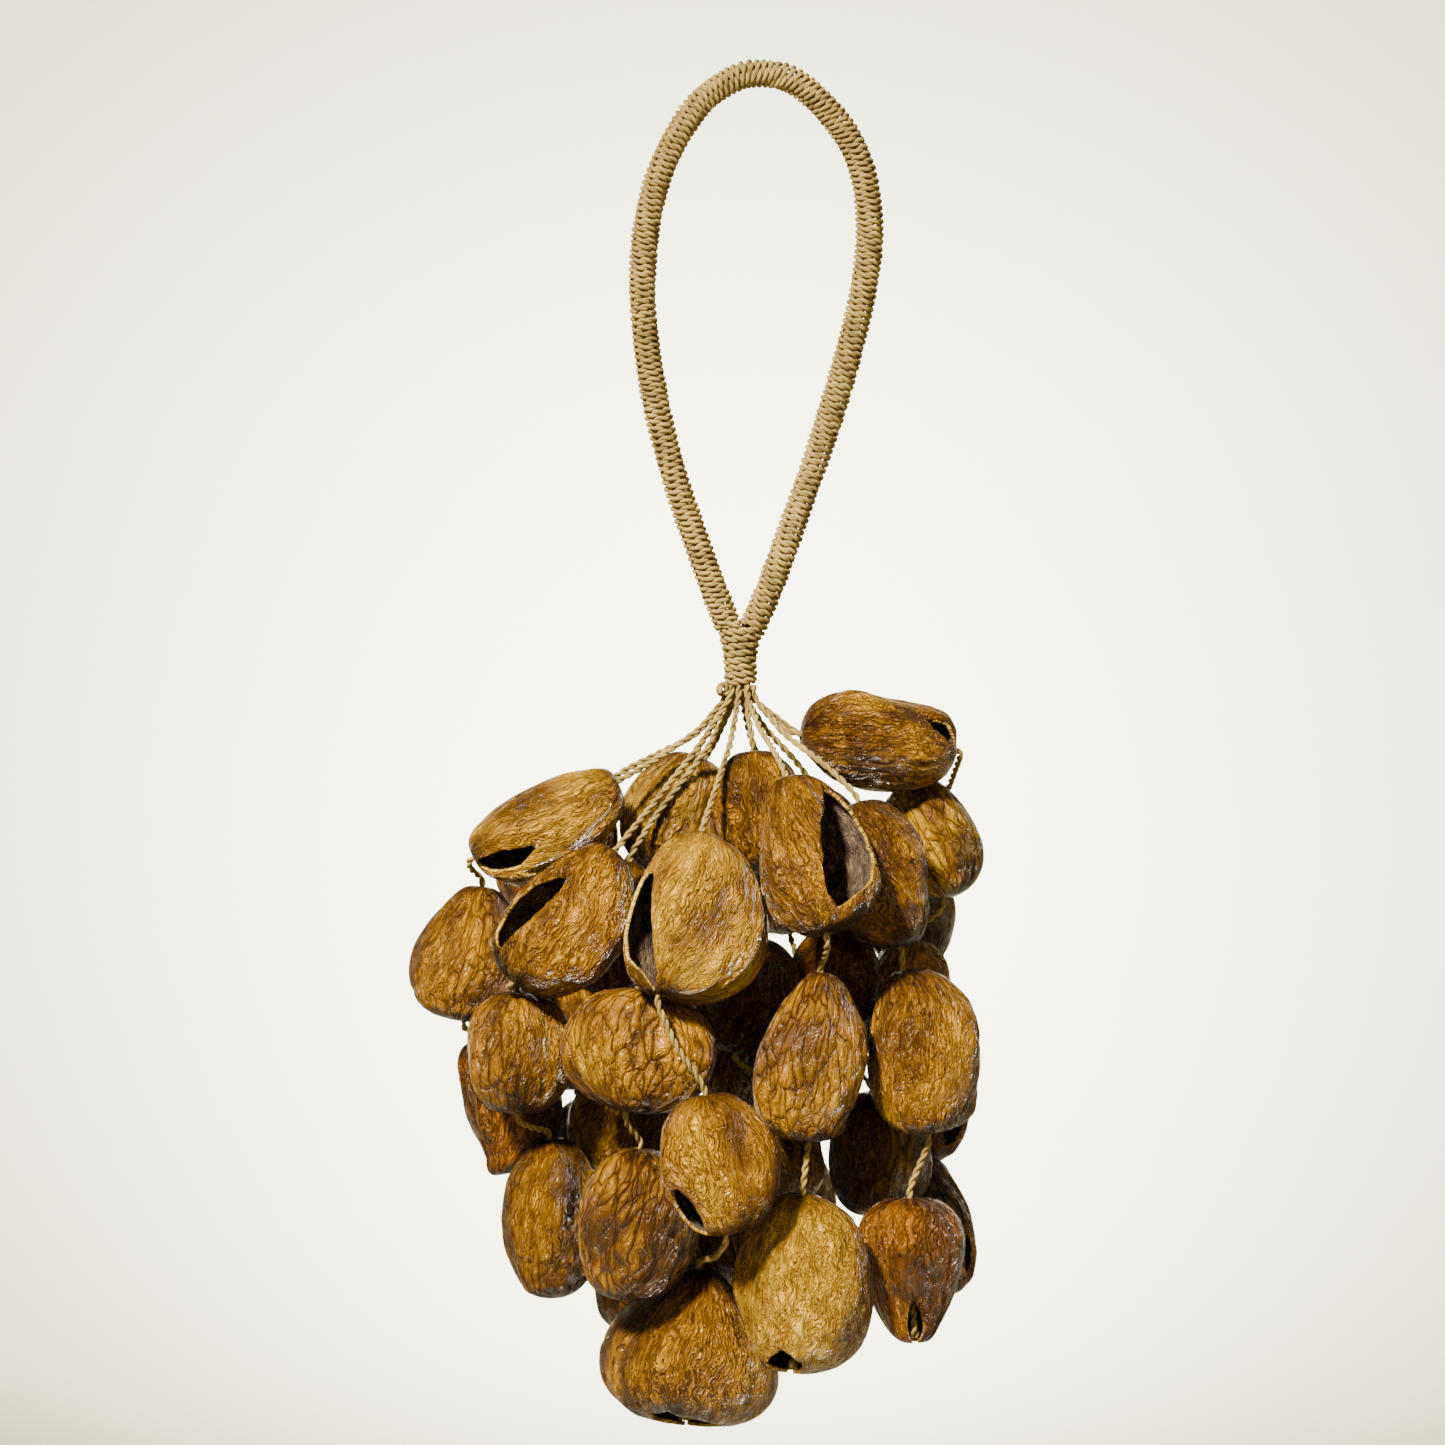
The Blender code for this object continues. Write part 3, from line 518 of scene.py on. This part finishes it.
def twisted(name, points, full=None, diameter=TWINE):
    """A plain mesh of two twisted plies along the points."""
    thing = line_object(name, points, [1.0] * len(points) if full is None else full)
    modifier = thing.modifiers.new("Twine", "NODES")
    modifier.node_group = TWO_PLY
    for port, value in (("Diameter", diameter), ("Lay", LAY), ("Step", LAY / 8), ("Sides", SIDES)):
        modifier[PORTS[port]] = value
    bpy.context.view_layer.update()
    depsgraph = bpy.context.evaluated_depsgraph_get()
    mesh = bpy.data.meshes.new_from_object(thing.evaluated_get(depsgraph))
    mesh.name = name
    thing.modifiers.clear()
    thing.data = mesh
    return thing


def distances(points):
    """How far along the points each of them is."""
    steps = np.linalg.norm(np.diff(points, axis=0), axis=1)
    return np.concatenate([[0], np.cumsum(steps)])


def read_at(points, travelled, wanted):
    """The places at the wanted distances along the points."""
    return np.stack([np.interp(wanted, travelled, points[:, k]) for k in range(3)], axis=1)


def smooth_line(points, count):
    """A smooth curve through the points, read at evenly spaced places along it."""
    points = np.array([tuple(p) for p in points])
    ends = np.vstack([2 * points[0] - points[1], points, 2 * points[-1] - points[-2]])
    dense = []
    for before, start, end, after in zip(ends, ends[1:], ends[2:], ends[3:]):
        for t in np.linspace(0, 1, 24, endpoint=False):
            dense.append(0.5 * (2 * start + (end - before) * t
                                + (2 * before - 5 * start + 4 * end - after) * t**2
                                + (3 * start - before - 3 * end + after) * t**3))
    dense = np.array(dense + [points[-1]])
    travelled = distances(dense)
    return read_at(dense, travelled, np.linspace(0, travelled[-1], count))


def wound(line, deep, wide, pitch, points_per_turn):
    """A slightly uneven helix round a line that lies in the plane of the loop.

    deep and wide give half its depth and half its width at a share of the way along the line.
    """
    travelled = distances(line)
    wanted = np.linspace(0, travelled[-1], int(travelled[-1] / pitch * points_per_turn))
    middle = read_at(line, travelled, wanted)
    ahead = np.gradient(middle, axis=0)
    ahead /= np.linalg.norm(ahead, axis=1)[:, None]
    back = np.array([0.0, 1.0, 0.0])
    across = np.cross(back, ahead)
    slip = np.array([noise.noise(Vector((w * 90, 0.3, 0.7))) for w in wanted])
    turn = 2 * np.pi * (wanted / pitch + 0.14 * slip)
    loose = np.array([1 + 0.04 * noise.noise(Vector((w * 700, 4.3, 0.7)))
                      + 0.07 * noise.noise(Vector((w * 45, 8.1, 2.7))) for w in wanted])
    reach = deep(wanted / travelled[-1]) * loose
    flat = wide(wanted / travelled[-1]) * loose
    return (middle + flat[:, None] * np.sin(turn)[:, None] * across
            - reach[:, None] * np.cos(turn)[:, None] * back)


def pod_turned(pod):
    turned = Euler((math.radians(pod.front), 0, 0)).to_matrix()
    leaned = Euler((0, math.radians(pod.right), 0)).to_matrix()
    rolled = Euler((0, 0, math.radians(pod.roll))).to_matrix()
    return leaned @ turned @ rolled


def pod_centre(pod):
    return STRANDS_FROM + Vector((pod.across, pod.behind, -pod.below)) * MM


def exit_point(strand):
    radius = OUTER_RING if strand.ring == "outer" else INNER_RING
    turn = math.radians(strand.turn)
    return STRANDS_FROM + Vector((radius * math.sin(turn), -radius * math.cos(turn), 0))


def bend(start, start_way, end, end_way, count):
    """Points inside a smooth bend that leaves start one way and reaches end another way."""
    leave, arrive = 0.8 * (end - start).length, 0.4 * (end - start).length
    points = []
    for k in range(1, count + 1):
        t = k / (count + 1)
        points.append((2 * t**3 - 3 * t**2 + 1) * start + (3 * t**2 - 2 * t**3) * end
                      + (t**3 - 2 * t**2 + t) * leave * start_way
                      + (t**3 - t**2) * arrive * end_way)
    return points


def twine_route(strand, lean):
    """A strand's centre line from the collar through its three shells, and how full it is."""
    turn = math.radians(strand.turn)
    start = exit_point(strand)
    tucked = start + Vector((0, 0, TUCK))
    route = [tucked, start, start - Vector((0, 0, TWINE))]
    full = [1.0, 1.0, 1.0]
    way, joins = Vector((lean * math.sin(turn), -lean * math.cos(turn), -1)).normalized(), 2
    half = 0.8 * TWINE
    for place, pod in enumerate(strand.pods):
        axis, centre = pod_turned(pod) @ Vector((0, 0, 1)), pod_centre(pod)
        half_length = pod.length * MM / 2
        entry = centre + axis * (half_length + LEAD)
        straight = (entry - route[-1]).normalized()
        if place and min(straight.dot(way), straight.dot(-axis)) > STRAIGHT:
            joins = 0
        added = bend(route[-1], way, entry, -axis, joins) + [entry]
        seat = centre - axis * (half_length - SHELL_WALL - FIT - half)
        full += [1.0] * (len(added) + 1) + [KNOT_SHARE, 1.0]
        route += added + [seat + axis * half, seat, seat - axis * half]
        if place < 2:
            route.append(centre - axis * (half_length + LEAD))
            full.append(1.0)
        way, joins = -axis, 1
    return route, full


def fine_route(route, full):
    """The route read every millimetre, with its corners eased."""
    route = np.array([tuple(p) for p in route])
    travelled = distances(route)
    wanted = np.linspace(0, travelled[-1], int(travelled[-1] / MM))
    points = read_at(route, travelled, wanted)
    for _ in range(6):
        points[1:-1] = (points[:-2] + 2 * points[1:-1] + points[2:]) / 4
    return points, np.interp(wanted, travelled, full)


def skin_point(pod, polar, around, taper):
    """Places on the shell's plain outer skin in its own axes, in metres.

    polar goes from 0 at the top hole to 1 at the lower one, and around turns from the front.
    """
    fullness = np.maximum(0.0, np.sin(np.pi * polar)) ** 0.8
    along = np.cos(np.pi * polar)
    tapered = 1 - abs(taper) * np.clip(along * np.sign(taper), 0, 1) ** 1.5
    swell = (1 - pod.egg * along) * tapered
    ripple = (1 + 0.06 * np.sin(2 * around + pod.roll)
              + 0.045 * np.sin(3 * around + 5 * polar + pod.aim))
    wide = HOLE_RADIUS + (pod.width * MM / 2 - HOLE_RADIUS) * fullness * swell * ripple
    deep = HOLE_RADIUS + (pod.thick * MM / 2 - HOLE_RADIUS) * fullness * swell * ripple
    side = pod.belly * pod.width * MM * fullness
    return np.stack([side + wide * np.sin(around), -deep * np.cos(around),
                     pod.length * MM / 2 * along], axis=-1)


def skin_normals(pod, polar, around, taper):
    """The outward directions of a skin at its places."""
    small = 1e-3
    polar = np.clip(polar, 0.02, 0.98)
    down = (skin_point(pod, polar + small, around, taper)
            - skin_point(pod, polar - small, around, taper))
    over = (skin_point(pod, polar, around + small, taper)
            - skin_point(pod, polar, around - small, taper))
    normals = np.cross(down, over)
    return normals / np.linalg.norm(normals, axis=1)[:, None]


def mouth_depth(pod, skin, polar, around, seed):
    """How far outside the shell's broken mouth a place is, below 0 inside it, and on which side."""
    first, last, turn, count = skin.mouth or pod.mouth
    middle, half = (first + last + 1) / 10, (last + 1 - first) / 10 * 1.12
    along = (polar - middle) / half
    away = (np.degrees(around) - turn + 180) % 360 - 180
    sway = skin.slant * along + 5 * np.sin(2.3 * along + seed)
    open_half = 22.5 * count * 0.95
    ragged = 1 + 0.04 * np.sin(8 * along + 2 * seed) + 0.025 * np.sin(21 * along + 5 * seed)
    return np.abs(away - sway) / open_half - ragged * (1 - along**2), np.sign(away - sway)


def mouth_edge(pod, skin, polar, around, seed):
    """The same places, with those inside the mouth moved out to its edge."""
    small = 1e-4
    for _ in range(4):
        depth = mouth_depth(pod, skin, polar, around, seed)[0]
        down = (mouth_depth(pod, skin, polar + small, around, seed)[0] - depth) / small
        over = (mouth_depth(pod, skin, polar, around + small, seed)[0] - depth) / small
        move = np.where(depth < 0, -depth / np.maximum(down**2 + over**2, 0.05), 0)
        polar = np.clip(polar + np.clip(move * down, -0.02, 0.02), 0, 1)
        around = around + np.clip(move * over, -0.08, 0.08)
    return polar, around


def skin_grain(pod, skin, polar, around, seed):
    """Where each place is on the skin's twisted grain, in millimetres."""
    turned = around + skin.twist * (polar - 0.5) + seed
    mean = (pod.width + pod.thick) / 4
    grain = np.stack([mean * np.sin(turned), -mean * np.cos(turned), pod.length * (0.5 - polar)],
                     axis=1)
    return grain * skin.grain + np.array([seed * 37.0, seed * 11.0, seed * 23.0])


def skin_lift(pod, skin, polar, around, seed, grain):
    """How far each place goes out from the plain skin in millimetres: folds, hollows and lips."""
    rough = np.array([noise.ridged_multi_fractal(Vector((x * 0.11, y * 0.11, z * 0.045)),
                                                 0.9, 2.1, 3, 1.0, 2.0) for x, y, z in grain])
    wavy = np.array([noise.noise(Vector((x * 0.045, y * 0.045, z * 0.035)))
                     for x, y, z in grain])
    fold = np.array([noise.noise(Vector((x * 0.2 + 2 * w, y * 0.2 - 2 * w, z * 0.05 + 9)))
                     for (x, y, z), w in zip(grain, wavy)])
    ridged = 0.7 * np.clip(np.abs(fold) * 4, 0, 1) ** 0.7 - 0.5
    lift = ridged + (rough - 1.25) * 0.4 - 5.5 * np.clip(wavy, 0, 0.65) - 0.42
    depth, lip = mouth_depth(pod, skin, polar, around, seed)
    curl = 1.7 * np.clip(1 - depth / 0.7, 0, 1) ** 2 * np.where(lip > 0, 1, 0.15)
    return np.clip(lift, DEEPEST, HIGHEST) - curl


def shell_mesh(name, pod, skin, rows, cols, seed):
    """A closed wrinkled shell with its mouth and its two holes."""
    polar, around = np.meshgrid(np.linspace(0, 1, rows + 1), np.arange(cols) * 2 * np.pi / cols,
                                indexing="ij")
    polar, around = polar.ravel(), around.ravel()
    index = np.arange((rows + 1) * cols).reshape(rows + 1, cols)
    right = np.roll(index, -1, axis=1)
    faces = np.stack([index[:-1], index[1:], right[1:], right[:-1]], axis=-1).reshape(-1, 4)

    depth = mouth_depth(pod, skin, polar, around, seed)[0]
    faces = faces[(depth[faces] > 0).any(axis=1)]
    polar, around = mouth_edge(pod, skin, polar, around, seed)
    grain = skin_grain(pod, skin, polar, around, seed)
    lift = skin_lift(pod, skin, polar, around, seed, grain)
    calm = np.clip(np.sin(np.pi * polar) * 1.6, 0, 1)
    normals = skin_normals(pod, polar, around, skin.taper)
    points = skin_point(pod, polar, around, skin.taper) + normals * (lift * calm * MM)[:, None]
    inner = points - normals * SHELL_WALL

    used = np.unique(faces)
    fresh = -np.ones(len(points), int)
    fresh[used] = np.arange(len(used))
    faces = fresh[faces]
    points, inner, grain, calm = (values[used] for values in (points, inner, grain, calm))
    count = len(points)
    ends = np.concatenate([faces[:, [k, (k + 1) % 4]] for k in range(4)]).tolist()
    keys = {(a, b) for a, b in ends}
    rim = [(b, a, a + count, b + count) for a, b in ends if (b, a) not in keys]
    every = faces.tolist() + (faces[:, ::-1] + count).tolist() + rim

    turn, centre = np.array(pod_turned(pod)), np.array(pod_centre(pod))
    placed = np.vstack([points, inner]) @ turn.T + centre
    mesh = bpy.data.meshes.new(name)
    mesh.from_pydata(placed.tolist(), [], every)
    places = mesh.attributes.new("skin", "FLOAT_VECTOR", "POINT")
    places.data.foreach_set("vector", np.vstack([grain, grain]).ravel())
    for label, values in (("inside", np.repeat([0.0, 1.0], count)), ("belly", np.tile(calm, 2)),
                          ("tone", np.full(2 * count, skin.tone)),
                          ("age", np.full(2 * count, skin.age)),
                          ("web", np.full(2 * count, skin.web))):
        mesh.attributes.new(label, "FLOAT", "POINT").data.foreach_set("value", values)
    mesh.polygons.foreach_set("use_smooth", [True] * len(every))
    mesh.validate()
    mesh.update()
    return mesh


def body_of(key):
    """The body that a strand and its shells ride on."""
    return f"strand_{key}" if key in SWINGING else "handle"


def make_shells():
    materials = {finish: shell_material(finish) for finish in SHELL_TONES}
    chance = np.random.default_rng(7)
    rows, cols = FULL_GRID
    for key, strand in STRANDS.items():
        for place, pod in zip(PLACES, strand.pods):
            skin = SKINS.get(f"{key}_{place}", Skin(*chance.uniform(SKIN_LOW, SKIN_HIGH)))
            name = f"shell_skin_{key}_{place}"
            mesh = shell_mesh(name, pod, skin, rows, cols, chance.uniform(0, 6))
            mesh.materials.append(materials[pod.finish])
            shell = bpy.data.objects.new(name, mesh)
            bpy.context.scene.collection.objects.link(shell)
            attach(shell, body_of(key))
            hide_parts(f"shell_{key}_{place}")


def make_strands():
    for key, strand in STRANDS.items():
        route, full = twine_route(strand, LEANS.get(key, USUAL_LEAN))
        points, fullness = fine_route(route, full)
        twine = twisted(f"strand_twine_{key}", points, fullness)
        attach(twine, body_of(key))
        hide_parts(f"twine_{key}")


def wrap_radius(share):
    """The radius of the handle's wrap, the same all the way round the loop."""
    return WRAP_RADIUS * np.ones_like(share)


def collar_depth(share):
    """Half the collar's depth, from its top to its underside."""
    return (4.0 + 0.4 * np.cos(np.pi * np.clip(share * 1.4, 0, 1))) * MM


def collar_width(share):
    """Half the collar's width, which is more at its top, where the loop's two arms part."""
    return (5.0 + 0.9 * np.cos(np.pi * np.clip(share * 1.6, 0, 1))) * MM


def make_handle():
    arms = smooth_line([CROWN + Vector((across * LOOP_WIDTH, 0, -down * LOOP_DROP))
                        for across, down in LOOP_SHAPE], 400)
    turns = wound(arms, wrap_radius, wrap_radius, WRAP_PITCH, 22)
    wrap = twisted("handle_winding", turns, diameter=WRAP_TWINE)
    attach(wrap, "handle")
    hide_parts("handle_wrap")

    top = COLLAR_TOP + Vector((0, 0, COLLAR_PITCH))
    foot = COLLAR_UNDERSIDE + Vector((0, 0, TWINE / 2))
    line = np.array([tuple(top.lerp(foot, share)) for share in np.linspace(0, 1, 60)])
    turns = wound(line, collar_depth, collar_width, COLLAR_PITCH, 40)
    collar = twisted("collar_winding", turns, diameter=COLLAR_TWINE)
    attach(collar, "handle")
    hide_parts("collar_wrap")

    middle = COLLAR_UNDERSIDE + Vector((-5.2, -3.4, -0.3)) * MM
    hitch = []
    for k in range(19):
        turn = math.radians(-130 + 40 * k)
        hitch.append(middle + Vector((1.35 * math.cos(turn), 1.7 - 0.19 * k + 0.5 * math.cos(turn),
                                      1.5 * math.sin(turn))) * MM)
    tie = twisted("tie_off_hitch", smooth_line(hitch, 90), diameter=HITCH_TWINE)
    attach(tie, "handle")
    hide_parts("tie_off_knot")


def make_camera():
    data = bpy.data.cameras.new("front")
    data.sensor_width = SENSOR
    data.lens = LENS
    data.clip_start, data.clip_end = 0.05, 20
    camera = bpy.data.objects.new("front", data)
    bpy.context.scene.collection.objects.link(camera)
    camera.location = CAMERA_PLACE
    camera.rotation_euler = (math.radians(90), 0, 0)
    bpy.context.scene.camera = camera


def make_floor():
    """A wide pale floor that rises into pale walls all round."""
    line = smooth_line([Vector((out, 0, up)) for out, up in FLOOR_PROFILE], 40)
    cols = 72
    points = [(r * math.cos(2 * math.pi * k / cols), r * math.sin(2 * math.pi * k / cols), z)
              for r, _, z in line[1:] for k in range(cols)]
    faces = []
    for row in range(len(line) - 2):
        for k in range(cols):
            a, b = row * cols + k, row * cols + (k + 1) % cols
            faces.append((a, a + cols, b + cols, b))
    points.append(tuple(line[0]))
    faces += [(len(points) - 1, k, (k + 1) % cols) for k in range(cols)]
    mesh = bpy.data.meshes.new("floor")
    mesh.from_pydata(points, [], faces)
    mesh.polygons.foreach_set("use_smooth", [True] * len(faces))
    material, _, shader = new_material("pale_floor")
    shader.inputs["Base Color"].default_value = FLOOR_COLOUR
    shader.inputs["Roughness"].default_value = 0.95
    mesh.materials.append(material)
    floor = bpy.data.objects.new("floor", mesh)
    bpy.context.scene.collection.objects.link(floor)


def make_lights():
    """A faint pale sky, the lights on the object, and one for each end of the walls."""
    world = bpy.data.worlds.new("studio")
    bpy.context.scene.world = world
    world.use_nodes = True
    sky = world.node_tree.nodes["Background"]
    sky.inputs["Color"].default_value = SKY_COLOUR
    sky.inputs["Strength"].default_value = SKY_STRENGTH
    for name, (place, aim, size, power, spread) in LIGHTS.items():
        lamp = bpy.data.lights.new(name, "AREA")
        lamp.size, lamp.energy, lamp.color = size, power, LAMP_COLOUR
        lamp.spread = math.radians(spread)
        light = bpy.data.objects.new(name, lamp)
        bpy.context.scene.collection.objects.link(light)
        light.location = place
        way = Vector(aim) - Vector(place)
        light.rotation_euler = way.to_track_quat("-Z", "Y").to_euler()
        light.visible_camera = False


make_camera()
TWO_PLY, PORTS = two_ply_tree(twine_material("straw_twine", *STRAW_TONES))
make_strands()
make_handle()
make_shells()
core = twine_material("core_twine", *CORE_TONES)
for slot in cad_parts["handle_core"].material_slots:
    slot.material = core
make_floor()
make_lights()
